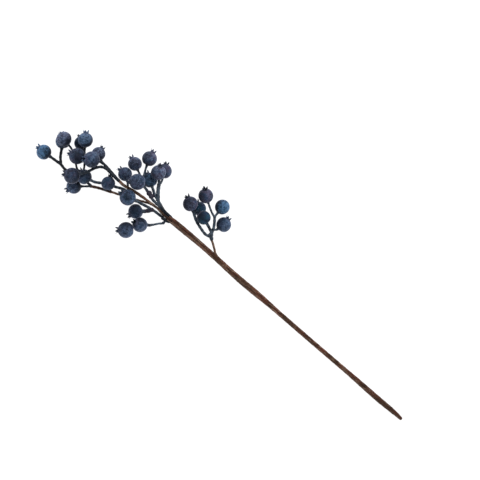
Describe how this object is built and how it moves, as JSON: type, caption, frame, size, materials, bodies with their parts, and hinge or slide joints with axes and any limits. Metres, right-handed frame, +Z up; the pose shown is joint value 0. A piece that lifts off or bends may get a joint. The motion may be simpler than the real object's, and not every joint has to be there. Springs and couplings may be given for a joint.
{
  "type": "artificial blueberry sprig",
  "caption": "Artificial blueberry sprig: matte blue berries with pointed crowns on forked moulded twigs, bound to a straight paper-taped wire stem for arranging.",
  "frame": {"origin": "under the middle of the sprig's footprint, on the surface it lies on", "axes": "+X along the stem from its cut end to the tip, +Z up from the surface, +Y to the left of +X"},
  "size_m": [0.3844, 0.0838, 0.033],
  "materials": {
    "paper_tape": "matt brown crepe paper tape wound round wire",
    "berry_side": "matt dusty blue powder over a dark navy moulding, blotched from one berry to the next",
    "berry_centre_upper": "matt dusty blue powder over a dark navy moulding, blotched from one berry to the next",
    "berry_centre_lower": "matt dusty blue powder over a dark navy moulding, blotched from one berry to the next",
    "berry_tip_upper": "matt dusty blue powder over a dark navy moulding, blotched from one berry to the next",
    "berry_tip_lower": "matt dusty blue powder over a dark navy moulding, blotched from one berry to the next"
  },
  "bodies": {
    "root": {"stem": "paper_tape", "spray_side": "berry_side", "spray_centre_upper": "berry_centre_upper", "spray_centre_lower": "berry_centre_lower", "spray_tip_upper": "berry_tip_upper", "spray_tip_lower": "berry_tip_lower"}
  },
  "joints": []
}
